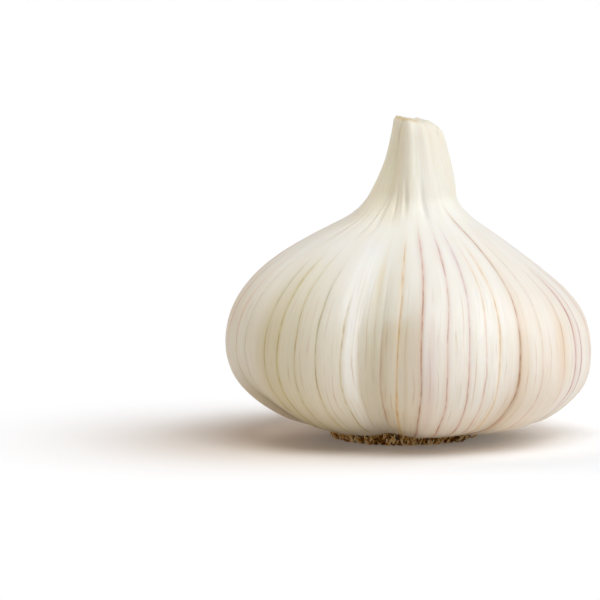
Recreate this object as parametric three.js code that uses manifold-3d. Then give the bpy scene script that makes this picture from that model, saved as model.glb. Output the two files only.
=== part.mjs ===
// A whole garlic bulb, standing upright on its root plate. Millimetres, +Z up, origin in the
// middle of its footprint on the surface that it stands on. +X is the bulb's right as it is
// seen from the front, and the front faces -Y.
//
// bulb        the papery body that grew as one piece: sheath skins over the cloves, shoulder, cut neck
// root_plate  the hard disc that the roots grew from, dished below, with its rim of cut root stubs

import * as THREE from "three";
import { mergeVertices } from "three/addons/utils/BufferGeometryUtils.js";
import Module from "manifold-3d";

const wasm = await Module();
wasm.setup();

// Driving dimensions

// Half outlines of the bulb as [distance from the axis, height], from the lip round the root
// plate, out under the cloves, up over the shoulder and along the neck to the cut.
const LEFT_OUTLINE = [
  [13.4, 1.6], [16.6, 2.3], [20.9, 3.8], [25.4, 6.8], [28.7, 10.8], [29.9, 15.8], [28.8, 21.2],
  [25.8, 26.0], [21.2, 30.1], [15.1, 33.7], [9.6, 36.4], [7.0, 38.8], [5.1, 42.1], [3.5, 46.0],
  [2.45, 50.4], [2.1, 52.8],
];
const RIGHT_OUTLINE = [
  [11.9, 1.3], [17.0, 1.9], [23.0, 3.4], [27.3, 6.6], [29.5, 9.9], [30.2, 14.6], [29.2, 19.8],
  [26.3, 24.1], [21.6, 28.2], [15.8, 32.6], [10.8, 36.2], [8.2, 39.2], [7.45, 42.6], [6.5, 46.6],
  [5.35, 50.2], [3.9, 51.9],
];
const LAST_STATION = LEFT_OUTLINE.length - 1;
const ROWS_PER_STATION = 2;
const NECK_LEAN = 0.9; // the cut end stands this far behind the axis
const NECK_FOOT = 34; // height where the lean begins
const NECK_TOP = 52;

// Valleys between the cloves: [degrees from the front, positive to the right, depth, station
// where the valley has run out on its way up to the neck].
const VALLEYS = [
  [-160, 2.5, 9.6], [-113, 2.7, 9.2], [-67, 1.8, 6], [-12.5, 3.4, 9.4], [36, 1.3, 8], [66, 1.0, 8.5],
  [112, 2.5, 9.2], [156, 2.9, 9.8],
];
const VALLEY_FADE = 3.8; // stations over which a valley runs out
const VALLEY_ROUNDING = 5; // degrees, keeps a valley's bottom from being a knife cut
const VALLEY_POWER = 2;
const LOW_VALLEY_SHARE = 0.35; // of a valley's depth, beside the root plate

// The strong veins that the front shows, in degrees from the front, and evenly spaced ones behind.
const FRONT_VEINS = [
  -63, -51.6, -45.6, -38.6, -31.2, -22.8, -17.5, -10.3, -4.7, 2.9, 10.9, 17.8, 23.3, 27.9, 36,
  44.8, 55.9, 64.6, 70.5, 80,
];
const BACK_VEIN_COUNT = 25;
const BACK_VEIN_WANDER = 1.4; // degrees
const RIB_DEPTH = 0.2; // a vein lies this far below the panels beside it
const COLUMNS_PER_PANEL = 3;

// Veins and valleys of the right-hand front lean out to the right on their way up the shoulder.
const TWIST = 8; // degrees at most
const TWIST_MIDDLE = 35; // degrees from the front
const TWIST_REACH = 60; // degrees to both sides of its middle
const TWIST_STATIONS = [5, 10];

// Folds of the neck, as waves round it: [waves, height, phase in degrees].
const NECK_FOLDS = [[5, 0.12, 30], [9, 0.08, 100], [14, 0.05, 20]];
// Broad flats (negative) and ridges of the neck: [degrees, height, half width to the left and to
// the right in degrees, station where it begins].
const NECK_PLEATS = [
  [-40, -0.95, 46, 40, 11], [5, 0.25, 20, 40, 11.2], [-110, 0.35, 14, 12, 9.6],
  [-158, -0.35, 10, 14, 9.8], [150, 0.4, 16, 12, 9.8], [112, -0.3, 9, 10, 9.8],
];
const PLEAT_RISE = 0.7; // stations on each side of the first over which a pleat grows

// The cut end: rings of sheath edges, as [share of the rim's size, height above the rim].
const CUT_RINGS = [[0.86, 0.25], [0.72, -0.25], [0.5, 0.1], [0.3, -0.3]];
const CUT_MIDDLE = -0.1;

// Seat under the bulb that holds the root plate, a little to the left of the neck's axis.
const PLATE_SHIFT = -0.8;
const SEAT_RADIUS = 11.1;
const SEAT_LIP_HEIGHT = 2.5;
const SEAT_TOP = 4.4;

// Root plate, as [radius, height] from the middle of its dished underside round to its top.
const PLATE_OUTLINE = [
  [0, 1.9], [3.4, 1.75], [6.2, 1.3], [7.8, 0.6], [8.7, 0], [10.3, 0], [11.0, 0.35], [11.2, 1.0],
  [10.8, 1.9], [10.7, 4.0], [0, 4.0],
];
const PLATE_SIDES = 48;

// Rings of cut root stubs: count, radius and height of the root end, downward tilt, length.
const STUB_RINGS = [
  { count: 42, radius: 10.2, height: 0.85, tilt: 6, length: 1.75 },
  { count: 38, radius: 10.0, height: 0.5, tilt: 24, length: 1.6 },
];
const STUB_RADIUS = 0.6;
const STUB_TAPER = 0.85; // radius of the cut end as a share of the root end's
const STUB_SPREAD = { thickness: 0.3, length: 0.22, tilt: 0.6 }; // shares of each value, both ways
const STUB_SIDES = 5;
const STUB_WANDER = 0.06; // radians round the rim

const DEGREE = Math.PI / 180;
const { clamp, lerp, smoothstep, euclideanModulo } = THREE.MathUtils;

// A number from 0 to 1 that looks random and is the same each time.
function scatter(index, stream) {
  return euclideanModulo(Math.sin(index * 12.9898 + stream * 78.233) * 43758.5453, 1);
}

// The bulb's skin

const toCurve = (outline) => new THREE.SplineCurve(outline.map(([r, z]) => new THREE.Vector2(r, z)));
const leftCurve = toCurve(LEFT_OUTLINE);
const rightCurve = toCurve(RIGHT_OUTLINE);

function veinAngles() {
  const first = FRONT_VEINS[0] + 360;
  const last = FRONT_VEINS[FRONT_VEINS.length - 1];
  const pitch = (first - last) / (BACK_VEIN_COUNT + 1);
  const back = Array.from(
    { length: BACK_VEIN_COUNT },
    (_, i) => last + pitch * (i + 1) + BACK_VEIN_WANDER * (2 * scatter(i, 1) - 1),
  );
  return [...FRONT_VEINS, ...back];
}

// How far the skin dips towards the valleys on both sides of this angle.
function valleyDip(degrees, station) {
  return VALLEYS.reduce((sum, [at, depth, end], i) => {
    const next = VALLEYS[(i + 1) % VALLEYS.length][0];
    const before = VALLEYS.at(i - 1)[0];
    const away = euclideanModulo(degrees - at + 180, 360) - 180;
    const lobe = away > 0 ? euclideanModulo(next - at, 360) : euclideanModulo(at - before, 360);
    const near = Math.max(0, 1 - Math.hypot(away, VALLEY_ROUNDING) / (lobe / 2));
    const share = 1 - smoothstep(station, end - VALLEY_FADE, end);
    return sum + depth * share * near ** VALLEY_POWER;
  }, 0);
}

// Degrees by which a point of the skin is turned about the bulb's axis.
function twist(degrees, station) {
  const away = (degrees - TWIST_MIDDLE) / TWIST_REACH;
  return TWIST * Math.max(0, 1 - away * away) ** 2 * smoothstep(station, ...TWIST_STATIONS);
}

function neckFold(degrees) {
  return NECK_FOLDS.reduce(
    (sum, [waves, height, phase]) => sum + height * Math.cos((waves * degrees + phase) * DEGREE),
    0,
  );
}

function neckPleat(degrees, station) {
  return NECK_PLEATS.reduce((sum, [at, height, left, right, first]) => {
    const away = euclideanModulo(degrees - at + 180, 360) - 180;
    const near = smoothstep(1 - Math.abs(away) / (away < 0 ? left : right), 0, 1);
    return sum + height * near * smoothstep(station, first - PLEAT_RISE, first + PLEAT_RISE);
  }, 0);
}

// Shares of each relief along the outline, by station.
const valleyShare = (station) => lerp(LOW_VALLEY_SHARE, 1, smoothstep(station, 0, 3));
const ribShare = (station) => smoothstep(station, -1, 2) * (1 - smoothstep(station, 8, 11.5));
const foldShare = (station) => smoothstep(station, 9, 12);

// A point of the skin at an angle and station, moved in or out along the outline's normal.
function skinPoint(degrees, station, ribDip) {
  const angle = (degrees + twist(degrees, station)) * DEGREE;
  const side = (1 + Math.sin(angle)) / 2;
  const t = clamp(station / LAST_STATION, 0, 1);
  const at = leftCurve.getPoint(t).lerp(rightCurve.getPoint(t), side);
  const along = leftCurve.getTangent(t).lerp(rightCurve.getTangent(t), side).normalize();
  const push =
    foldShare(station) * neckFold(degrees) +
    neckPleat(degrees, station) -
    valleyShare(station) * valleyDip(degrees, station) -
    ribShare(station) * ribDip;
  const r = at.x + along.y * push;
  const z = at.y - along.x * push;
  const lean = NECK_LEAN * smoothstep(z, NECK_FOOT, NECK_TOP);
  return [r * Math.sin(angle), lean - r * Math.cos(angle), z];
}

// Columns round the bulb: each vein, then the columns of the raised panel up to the next vein.
function columns() {
  const veins = veinAngles();
  return veins.flatMap((from, i) => {
    const to = i + 1 < veins.length ? veins[i + 1] : veins[0] + 360;
    return Array.from({ length: COLUMNS_PER_PANEL }, (_, k) => ({
      degrees: lerp(from, to, k / COLUMNS_PER_PANEL),
      ribDip: k === 0 ? RIB_DEPTH : 0,
    }));
  });
}

// Closes rings of points, listed from the first cap to the last, into one surface.
function closeRings(rings, firstPole, lastPole) {
  const n = rings[0].length;
  const positions = [...rings.flat(), firstPole, lastPole];
  const first = rings.length * n;
  const index = [];
  for (let i = 0; i < n; i++) {
    const j = (i + 1) % n;
    index.push(first, j, i);
    for (let row = 0; row + 1 < rings.length; row++) {
      const low = row * n;
      const high = low + n;
      index.push(low + i, low + j, high + j, low + i, high + j, high + i);
    }
    const top = (rings.length - 1) * n;
    index.push(first + 1, top + i, top + j);
  }
  const geometry = new THREE.BufferGeometry();
  geometry.setAttribute("position", new THREE.Float32BufferAttribute(positions.flat(), 3));
  geometry.setIndex(index);
  geometry.computeVertexNormals();
  return geometry;
}

function bulbGeometry() {
  const round = columns();
  const ringAt = (radius, z) =>
    round.map(({ degrees }) => [
      PLATE_SHIFT + radius * Math.sin(degrees * DEGREE), -radius * Math.cos(degrees * DEGREE), z,
    ]);
  const rowCount = LAST_STATION * ROWS_PER_STATION;
  const skin = Array.from({ length: rowCount + 1 }, (_, row) =>
    round.map(({ degrees, ribDip }) => skinPoint(degrees, row / ROWS_PER_STATION, ribDip)),
  );
  const rim = skin.at(-1);
  const middle = [0, 1, 2].map((axis) => rim.reduce((sum, p) => sum + p[axis], 0) / rim.length);
  const cut = CUT_RINGS.map(([share, rise]) =>
    rim.map((p) => p.map((value, axis) => lerp(middle[axis], value, share) + (axis === 2 ? rise : 0))),
  );
  const seat = [ringAt(SEAT_RADIUS, SEAT_TOP), ringAt(SEAT_RADIUS, SEAT_LIP_HEIGHT)];
  return closeRings(
    [...seat, ...skin, ...cut],
    [PLATE_SHIFT, 0, SEAT_TOP],
    [middle[0], middle[1], middle[2] + CUT_MIDDLE],
  );
}

// The root plate

function toSolid(geometry) {
  const bare = geometry.clone();
  bare.deleteAttribute("normal");
  bare.deleteAttribute("uv");
  const merged = mergeVertices(bare, 1e-4);
  return new wasm.Manifold(
    new wasm.Mesh({
      numProp: 3,
      vertProperties: new Float32Array(merged.attributes.position.array),
      triVerts: new Uint32Array(merged.index.array),
    }),
  );
}

function toGeometry(solid) {
  const { vertProperties, triVerts } = solid.getMesh();
  const geometry = new THREE.BufferGeometry();
  geometry.setAttribute("position", new THREE.BufferAttribute(vertProperties, 3));
  geometry.setIndex(new THREE.BufferAttribute(triVerts, 1));
  geometry.computeVertexNormals();
  return geometry;
}

// A lathe turned from Y up to Z up.
function plateDisc() {
  const outline = PLATE_OUTLINE.map(([r, z]) => new THREE.Vector2(r, z));
  return new THREE.LatheGeometry(outline, PLATE_SIDES).rotateX(Math.PI / 2);
}

// One cut root, pointing out of the rim and a little down, each a bit different.
function rootStub(ring, ringIndex, i) {
  const vary = (stream, spread) => 1 + spread * (2 * scatter(i, 10 * ringIndex + stream) - 1);
  const thick = STUB_RADIUS * vary(2, STUB_SPREAD.thickness);
  const length = ring.length * vary(3, STUB_SPREAD.length);
  const stub = new THREE.CylinderGeometry(thick * STUB_TAPER, thick, length, STUB_SIDES, 1);
  stub.rotateY(scatter(i, 4) * 2 * Math.PI);
  stub.translate(0, length / 2, 0);
  stub.rotateZ(-(90 + ring.tilt * vary(5, STUB_SPREAD.tilt)) * DEGREE);
  stub.rotateX(Math.PI / 2);
  stub.translate(ring.radius, 0, ring.height);
  const turn = ((i + 0.5 * ringIndex) / ring.count) * 2 * Math.PI;
  return stub.rotateZ(turn + STUB_WANDER * (2 * scatter(i, 6 + ringIndex) - 1));
}

function rootPlateGeometry() {
  const stubs = STUB_RINGS.flatMap((ring, ringIndex) =>
    Array.from({ length: ring.count }, (_, i) => toSolid(rootStub(ring, ringIndex, i))),
  );
  const grown = stubs.reduce((whole, stub) => whole.add(stub), toSolid(plateDisc()));
  // The knife cut every root off level with the surface that the bulb stands on.
  const reach = 40;
  const above = new THREE.BoxGeometry(reach, reach, reach).translate(0, 0, reach / 2);
  return toGeometry(grown.intersect(toSolid(above))).translate(PLATE_SHIFT, 0, 0);
}

// Materials and assembly

const skinPaper = new THREE.MeshStandardMaterial({ color: "#ece6d8", roughness: 0.5, metalness: 0 });
const rootWood = new THREE.MeshStandardMaterial({ color: "#cdae7a", roughness: 0.9, metalness: 0 });

const bulb = new THREE.Mesh(bulbGeometry(), skinPaper);
bulb.name = "bulb";
const rootPlate = new THREE.Mesh(rootPlateGeometry(), rootWood);
rootPlate.name = "root_plate";

const garlic = new THREE.Group();
garlic.add(bulb, rootPlate);

// The cloves are uneven, so the whole is slid to stand with its footprint's middle on the origin.
const footprint = new THREE.Box3().setFromObject(garlic).getCenter(new THREE.Vector3());
garlic.position.set(-footprint.x, -footprint.y, 0);

export default garlic;
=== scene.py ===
"""Looks of a whole garlic bulb that stands on its root plate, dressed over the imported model.

bulb_skin     papery sheath over the cloves, gathered into the cut neck
root_dish     hard tan disc, dished below, that the roots grew from
root_stubs    crumbly ring of cut root ends round the disc

Metres in Blender, millimetres in the values below. +Z is up and the front faces -Y.
"""

import math

import bpy
import numpy as np
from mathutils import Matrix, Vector


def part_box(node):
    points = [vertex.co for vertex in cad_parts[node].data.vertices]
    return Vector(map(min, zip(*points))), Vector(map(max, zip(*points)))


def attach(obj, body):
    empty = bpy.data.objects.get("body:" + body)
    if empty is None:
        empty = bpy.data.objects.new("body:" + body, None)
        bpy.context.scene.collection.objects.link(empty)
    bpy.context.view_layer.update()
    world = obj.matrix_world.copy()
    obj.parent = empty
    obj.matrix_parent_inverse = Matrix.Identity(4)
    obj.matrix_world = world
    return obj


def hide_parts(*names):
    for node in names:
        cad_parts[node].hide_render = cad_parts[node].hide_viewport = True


MM = 0.001

# The bulb's form, from the same values as the part's source

# Half outlines of the bulb, as [distance from the axis, height] from the root plate to the cut.
LEFT_OUTLINE = np.array([
    [13.4, 1.6], [16.6, 2.3], [20.9, 3.8], [25.4, 6.8], [28.7, 10.8], [29.9, 15.8], [28.8, 21.2],
    [25.8, 26.0], [21.2, 30.1], [15.1, 33.7], [9.6, 36.4], [7.0, 38.8], [5.1, 42.1], [3.5, 46.0],
    [2.45, 50.4], [2.1, 52.8],
])
RIGHT_OUTLINE = np.array([
    [11.9, 1.3], [17.0, 1.9], [23.0, 3.4], [27.3, 6.6], [29.5, 9.9], [30.2, 14.6], [29.2, 19.8],
    [26.3, 24.1], [21.6, 28.2], [15.8, 32.6], [10.8, 36.2], [8.2, 39.2], [7.45, 42.6], [6.5, 46.6],
    [5.35, 50.2], [3.9, 51.9],
])
LAST_STATION = len(LEFT_OUTLINE) - 1
NECK_LEAN = 0.9  # the cut end stands this far behind the axis
NECK_FOOT = 34  # heights between which the neck leans
NECK_TOP = 52

# Valleys between the cloves: [degrees from the front, depth, station where it has run out].
VALLEYS = [
    (-160, 2.5, 9.6), (-113, 2.7, 9.2), (-67, 1.8, 6), (-12.5, 3.4, 9.4), (36, 1.3, 8), (66, 1.0, 8.5),
    (112, 2.5, 9.2), (156, 2.9, 9.8),
]
VALLEY_FADE = 3.8  # stations over which a valley runs out
VALLEY_ROUNDING = 5  # degrees, keeps a valley's bottom from being a knife cut
VALLEY_POWER = 2
LOW_VALLEY_SHARE = 0.35  # of a valley's depth, beside the root plate
VALLEY_START = 3  # station from which a valley has its full depth
BACK_VEIN_COUNT = 25
BACK_VEIN_WANDER = 1.4  # degrees to either side
TWIST = 8  # degrees that the veins of the right-hand front lean out on their way up, at most
TWIST_MIDDLE = 35  # degrees
TWIST_REACH = 60  # degrees
TWIST_STATIONS = (5, 10)
NECK_FOLDS = [(5, 0.12, 30), (9, 0.08, 100), (14, 0.05, 20)]  # waves, height, phase in degrees
FOLD_STATIONS = (9, 12)
PLATE_SHIFT = -0.8  # the root plate lies to the left of the neck's axis
SEAT_RADIUS = 11.1
SEAT_LIP_HEIGHT = 2.5
SEAT_TOP = 4.4
PLATE_OUTLINE = np.array([
    [0, 1.9], [3.4, 1.75], [6.2, 1.3], [7.8, 0.6], [8.7, 0.02], [10.3, 0.02], [11.0, 0.35],
    [11.2, 1.0], [10.8, 1.9], [10.7, 4.0],
])

# Finer relief of the skin, which only this script has

# Ridges (positive) and creases (negative) of the gathered neck: [degrees, height, half width to
# the left and to the right in degrees, first station, last station].
NECK_PLEATS = [
    (-40, -0.95, 46, 40, 11.0, 16),
    (5, 0.25, 20, 40, 11.2, 16),
    (-6.3, -0.3, 4, 4, 10.7, 12.0),
    (11.5, -0.3, 5, 5, 10.0, 11.9),
    (-24, 0.25, 7, 6, 10.1, 11.6),
    (-45, 0.2, 8, 6, 9.8, 11.4),
    (-17, -0.2, 2.5, 2.5, 10.2, 11.8),
    (-29, -0.18, 2.2, 2.2, 9.3, 10.6),
    (-33.5, 0.22, 2.2, 2.2, 9.6, 11.2),
    (-38, -0.2, 2.2, 2.2, 9.4, 10.9),
    (-52, 0.2, 3, 3, 9.2, 10.6),
    (-58, -0.18, 3, 3, 9.0, 10.4),
    (-110, 0.35, 14, 12, 9.6, 15),
    (150, 0.4, 16, 12, 9.8, 15),
    (-158, -0.35, 10, 14, 9.8, 15),
    (112, -0.3, 9, 10, 9.8, 14.6),
]
PLEAT_FADE = 0.7  # stations
# Outer sheath that ends short of the cut on the right of the neck.
SHEATH_STEP = 0.3
SHEATH_SPAN = (28, 150)  # degrees
SHEATH_FADES = (14, 30)  # degrees, at its left and right end
SHEATH_FOOT = (10.5, 12.5)  # stations over which it comes away from the neck
SHEATH_END = 14.05  # station
SHEATH_WEAR = [(0.25, 0.21), (0.1, 0.77)]  # waves of its worn edge: stations, radians a degree
SHEATH_RISE = 0.9  # stations that the edge climbs where the sheath fades out
SHEATH_EDGE = 0.06  # stations over which the edge steps down, to both sides

EDGE_ROUNDING = 0.1  # share of the neck's radius by which the cut edge turns in
EDGE_STATION = 14.5
RAGGED_HEIGHT = 0.05
RAGGED_WAVES = [(7, 0), (17, 40)]  # waves round the cut, phase in degrees
RAGGED_TURN = 1.9  # radians by which their height changes from one ring of the cut to the next

# Mesh of the skin
SEAT_STATIONS = [-0.6, -0.3]  # what the seat's two rings count as, below the first station
COLUMNS_PER_PANEL = 10
COLUMN_CROWDING = 0.55  # how much closer together the columns stand beside a vein
ROWS_PER_STATION = 13

# The cut end, as [share of the rim's size, height above the rim]: edges of one sheath in another.
CUT_RINGS = [
    (0.975, 0.1), (0.94, 0.12), (0.9, 0.0), (0.86, -0.3), (0.82, -0.05), (0.78, 0.1), (0.74, 0.02),
    (0.7, -0.35), (0.65, -0.15), (0.6, 0.05), (0.55, -0.05), (0.5, -0.4), (0.44, -0.2), (0.38, 0.0),
    (0.3, -0.2), (0.2, -0.45), (0.1, -0.4),
]
CUT_MIDDLE = -0.35  # height of the cut's middle above the rim

# Stations over which each quality of the skin comes in or goes
RIBS_IN = (-0.3, 2)
RIBS_OUT = (6.5, 9.5)
PLEATS_IN = (9.2, 10.6)
PLEATS_LESS = (11.2, 12.5)
PLEATS_LOST = 0.7  # share of the pleats' height that is gone above that
SKIN_TIGHTENS = (6.5, 10)
WRINKLES_LOST = 0.85
FOOT_TONE_OUT = (0.5, 4.5)
NECK_TONE_IN = (9.5, 12)
RIM_TONE_IN = (14.6, 14.95)
CUT_TONE_IN = (-0.02, 0.1)  # from the last station
VEIN_FADE_IN = (-0.4, 0.6)  # from a vein's first station
VEIN_FADE_OUT = (-1.2, 0.3)  # from its last station
LOW_END = (1.6, 3.4)
TONE_CHANGE = (4.0, 7.0)  # from a vein's tone below to its tone above
TONE_CHANGE_WANDER = 0.8

# Uneven patterns of the skin: [width at the belly, cells along a station, detail, roughness].
BELLY_RADIUS = 30
WRINKLES = (3.333, 0.55, 2.0, 0.5)
PLEATS = (2.308, 0.5, 3.0, 0.6)
PATCHES = (6.667, 0.35, 2.0, 0.5)
STREAKS = (1.25, 0.5, 3.0, 0.6)
FIBRES = (0.353, 0.9, 2.0, 0.6)  # real ones are about 0.1 mm wide, too fine to show
VEIN_BENDS = (3.0, 0.45, 2.0, 0.5)
VEIN_BREAKS = (1.0, 2.2, 3.0, 0.5)
FINE_VEIN_BREAKS = (0.75, 0.7, 2.0, 0.5)

# Veins: half widths of the line and of the stain beside it, and how far they wander
VEIN_WIDTH = 0.12
HALO_WIDTH = 0.5
HALO_SHARE = 0.27
VEIN_WANDER = 0.9
FINE_VEINS_PER_PANEL = 3
FINE_VEIN_WIDTH = 0.1
FINE_VEIN_WANDER = 1.6  # times a vein's

# Colours of the sheath, in sRGB
SKIN_TONE = "#f3f2ec"
FOOT_TONE = "#dacdac"
NECK_TONE = "#f3f3eb"
RIM_TONE = "#cdb385"
PATCH_TONE = "#e6dac6"
STREAK_TONE = "#dacdb0"
FIBRE_TONE = "#d0bf98"
FINE_VEIN_TONE = "#bf9a70"
DASH_TONE = "#80582f"
CUT_DARK = "#b99a6a"
CUT_LIGHT = "#e6d6b4"
FOOT_SHARE = 0.45
RIM_SHARE = 0.7
TONES = {
    "straw": "#bdaa4e",
    "orange": "#e8a25e",
    "olive": "#a69c55",
    "rust": "#bb6030",
    "umber": "#aa6c44",
    "gold": "#e0ae4a",
    "brown": "#b06f26",
    "purple": "#b55a66",
    "lilac": "#bd8694",
    "pink": "#d08a76",
    "tan": "#c3a27c",
}
# Veins of the front: [degrees, tone above, tone below, strength, first station, last station].
FRONT_VEINS = [
    (-63, "olive", "olive", 0.3, 1.5, 8.0),
    (-51.6, "olive", "straw", 0.75, 1.5, 8.2),
    (-45.6, "straw", "straw", 0.95, 1.5, 8.4),
    (-38.6, "straw", "straw", 0.5, 1.5, 8.6),
    (-31.2, "olive", "straw", 0.5, 1.0, 8.4),
    (-22.8, "straw", "straw", 0.55, 1.0, 7.2),
    (-17.5, "tan", "tan", 0.1, 1.0, 6.5),
    (-10.3, "brown", "brown", 0.45, 1.5, 6.2),
    (-4.7, "gold", "gold", 0.58, 0.0, 9.5),
    (2.9, "rust", "umber", 0.75, 0.0, 9.8),
    (10.9, "rust", "rust", 0.55, 0.0, 9.8),
    (17.8, "lilac", "rust", 0.5, 0.0, 9.7),
    (23.3, "gold", "pink", 0.35, 0.5, 9.2),
    (27.9, "gold", "gold", 0.5, 0.0, 9.3),
    (36, "brown", "brown", 0.66, 0.0, 10.7),
    (44.8, "tan", "pink", 0.3, 0.5, 9.4),
    (55.9, "umber", "pink", 0.3, 0.5, 8.4),
    (64.6, "purple", "purple", 0.8, 0.5, 8.2),
    (70.5, "purple", "umber", 0.6, 0.5, 8.2),
    (80, "purple", "pink", 0.4, 0.5, 8.0),
]
LOW_END_FORCE = 0.45  # extra strength of a vein beside the roots
BACK_TONES = ["purple", "pink", "rust", "orange", "purple", "olive", "brown", "straw", "pink"]
# Limits between which a vein of the back gets its strength, first station and last station
BACK_VEIN_FORCE = (0.3, 0.9)
BACK_VEIN_FIRST = (0, 0.8)
BACK_VEIN_LAST = (7.6, 9.0)
VEIN_COUNT = len(FRONT_VEINS) + BACK_VEIN_COUNT
# Stains, and painted shade and highlights: [degrees, station, half width in degrees, half height in
# stations, edge, colour, share].
# An edge of 2 is soft all the way, and a higher one ends more sharply.
STAINS_AND_PAINTED_LIGHT = [
    # Painted shade in the valley left of the front: low down, and above where the valley runs out.
    (-13.5, 4.7, 5.5, 2.7, 3, "#bbae84", 0.64),
    (-9, 7.2, 10, 2.0, 2, "#dcd5bb", 0.5),
    # Painted highlights on the flank left of that valley, which faces the lamps.
    (-20.6, 4.4, 2.7, 2.6, 6, "#fcfcf8", 0.8),
    (-22, 7.6, 8, 1.6, 2, "#fbfaf6", 0.6),
    (-42, 1.4, 16, 1.1, 2, "#8f8153", 0.4),
    # Painted shade under the rear-left lobe, low on the left.
    (-70, 2.9, 13, 1.4, 2, "#a29160", 0.5),
    (-5.8, 3.3, 4.3, 3.2, 24, "#c9b488", 0.42),
    (0.4, 3.9, 3.0, 3.2, 6, "#cab287", 0.48),
    (-51, 4.6, 4.5, 2.8, 3, "#c8bc80", 0.4),
    (5.6, 3.8, 1.7, 2.3, 2, "#d3aca6", 0.5),
    (9, 2.6, 8, 2.2, 2, "#ddc8ae", 0.35),
    (-13.2, 7.8, 1.2, 0.8, 2, "#dac589", 0.42),
    (-48, 4.4, 18, 3.6, 3, "#cdc18e", 0.45),
    (-41.5, 5.6, 9.5, 2.8, 8, "#d6c698", 0.22),
    # Painted shade in the notch between two lobes, low on the left.
    (-68, 2.75, 1.3, 0.7, 3, "#6b5c30", 0.5),
    (-60.5, 2.9, 1.0, 0.4, 3, "#6b5c30", 0.45),
    (-30, 2.2, 30, 2.0, 2, "#cbbd92", 0.24),
    (-28.5, 5.2, 5, 2.4, 4, "#d8caa4", 0.3),
    (35.5, 2.6, 5, 1.8, 2, "#b3905f", 0.42),
    (37.5, 5.2, 2.4, 3.4, 2, "#d6b482", 0.42),
    (28, 2.4, 14, 1.8, 2, "#d6bd9d", 0.35),
    (48, 3.0, 13, 2.0, 2, "#dbbc98", 0.4),
    (52, 4.8, 20, 3.8, 2, "#e6d8c8", 0.45),
    (55, 5.3, 2.6, 1.2, 2, "#dbae74", 0.4),
    # The valley on the right: partly the mauve of its purple vein, partly painted shade.
    (66, 4.8, 3.0, 2.6, 2, "#cba698", 0.3),
    (42, 8.3, 22, 2.4, 2, "#f0e4d6", 0.4),
    (82, 5.0, 9, 4.0, 2, "#e0cfc0", 0.5),
    (-80, 5.0, 16, 4.0, 2, "#d0c39c", 0.45),
    (-45, 12.6, 48, 3.0, 4, "#e4d5a0", 0.45),
    (75, 13.2, 60, 3.0, 3, "#e2e2d4", 0.5),
    (42, 14.4, 34, 1.3, 2, "#ecd9ba", 0.3),
    (150, 5.0, 26, 4.0, 2, "#e2cfc0", 0.5),
    (-150, 4.0, 30, 4.0, 2, "#d4c6a6", 0.45),
    (110, 3.0, 22, 2.4, 2, "#dfc6b4", 0.45),
]


def linear(code):
    """An sRGB hex colour as linear red, green and blue."""
    parts = [int(code[i : i + 2], 16) / 255 for i in (1, 3, 5)]
    return [c / 12.92 if c <= 0.04045 else ((c + 0.055) / 1.055) ** 2.4 for c in parts]


def smooth(x, low, high):
    """0 up to low and 1 from high on, with a soft rise between them."""
    t = np.clip((x - low) / (high - low), 0, 1)
    return t * t * (3 - 2 * t)


def scatter(index, stream, low=0, high=1):
    """A number from low to high that looks random and is the same each time."""
    share = (math.sin(index * 12.9898 + stream * 78.233) * 43758.5453) % 1
    return low + (high - low) * share


def turned(degrees, at):
    """Degrees from a direction, from -180 to 180."""
    return (degrees - at + 180) % 360 - 180


def vein_table():
    """All veins round the bulb, the front ones first, as rows like FRONT_VEINS."""
    first = FRONT_VEINS[0][0] + 360
    last = FRONT_VEINS[-1][0]
    pitch = (first - last) / (BACK_VEIN_COUNT + 1)
    back = []
    for i in range(BACK_VEIN_COUNT):
        back.append((
            last + pitch * (i + 1) + BACK_VEIN_WANDER * (2 * scatter(i, 1) - 1),
            BACK_TONES[int(scatter(i, 2) * len(BACK_TONES))],
            BACK_TONES[int(scatter(i, 6) * len(BACK_TONES))],
            scatter(i, 3, *BACK_VEIN_FORCE),
            scatter(i, 5, *BACK_VEIN_FIRST),
            scatter(i, 4, *BACK_VEIN_LAST),
        ))
    return FRONT_VEINS + back


def outline_at(outline, station):
    """Points and unit tangents of a curve through an outline's points, at stations."""
    last = len(outline) - 1
    i = np.clip(np.floor(station).astype(int), 0, last - 1)
    w = (station - i)[:, None]
    before = outline[np.maximum(i - 1, 0)]
    start = outline[i]
    end = outline[i + 1]
    after = outline[np.minimum(i + 2, last)]
    slope_in = (end - before) / 2
    slope_out = (after - start) / 2
    cubic = 2 * start - 2 * end + slope_in + slope_out
    square = -3 * start + 3 * end - 2 * slope_in - slope_out
    points = cubic * w**3 + square * w**2 + slope_in * w + start
    tangents = 3 * cubic * w**2 + 2 * square * w + slope_in
    return points, tangents / np.linalg.norm(tangents, axis=1)[:, None]


def valley_dip(degrees, station):
    """How far the skin dips towards the valleys on both sides, as [station, column]."""
    total = np.zeros((len(station), len(degrees)))
    for i, (at, depth, end) in enumerate(VALLEYS):
        after = VALLEYS[(i + 1) % len(VALLEYS)][0]
        before = VALLEYS[i - 1][0]
        away = turned(degrees, at)
        lobe = np.where(away > 0, (after - at) % 360, (at - before) % 360)
        near = np.maximum(0, 1 - np.hypot(away, VALLEY_ROUNDING) / (lobe / 2))
        share = 1 - smooth(station, end - VALLEY_FADE, end)
        total += depth * share[:, None] * near**VALLEY_POWER
    return total


def twist(degrees, station):
    """Degrees that a column has turned to the right at a station, as [station, column]."""
    away = (degrees - TWIST_MIDDLE) / TWIST_REACH
    share = np.maximum(0, 1 - away * away) ** 2
    return TWIST * smooth(station, *TWIST_STATIONS)[:, None] * share[None]


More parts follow.
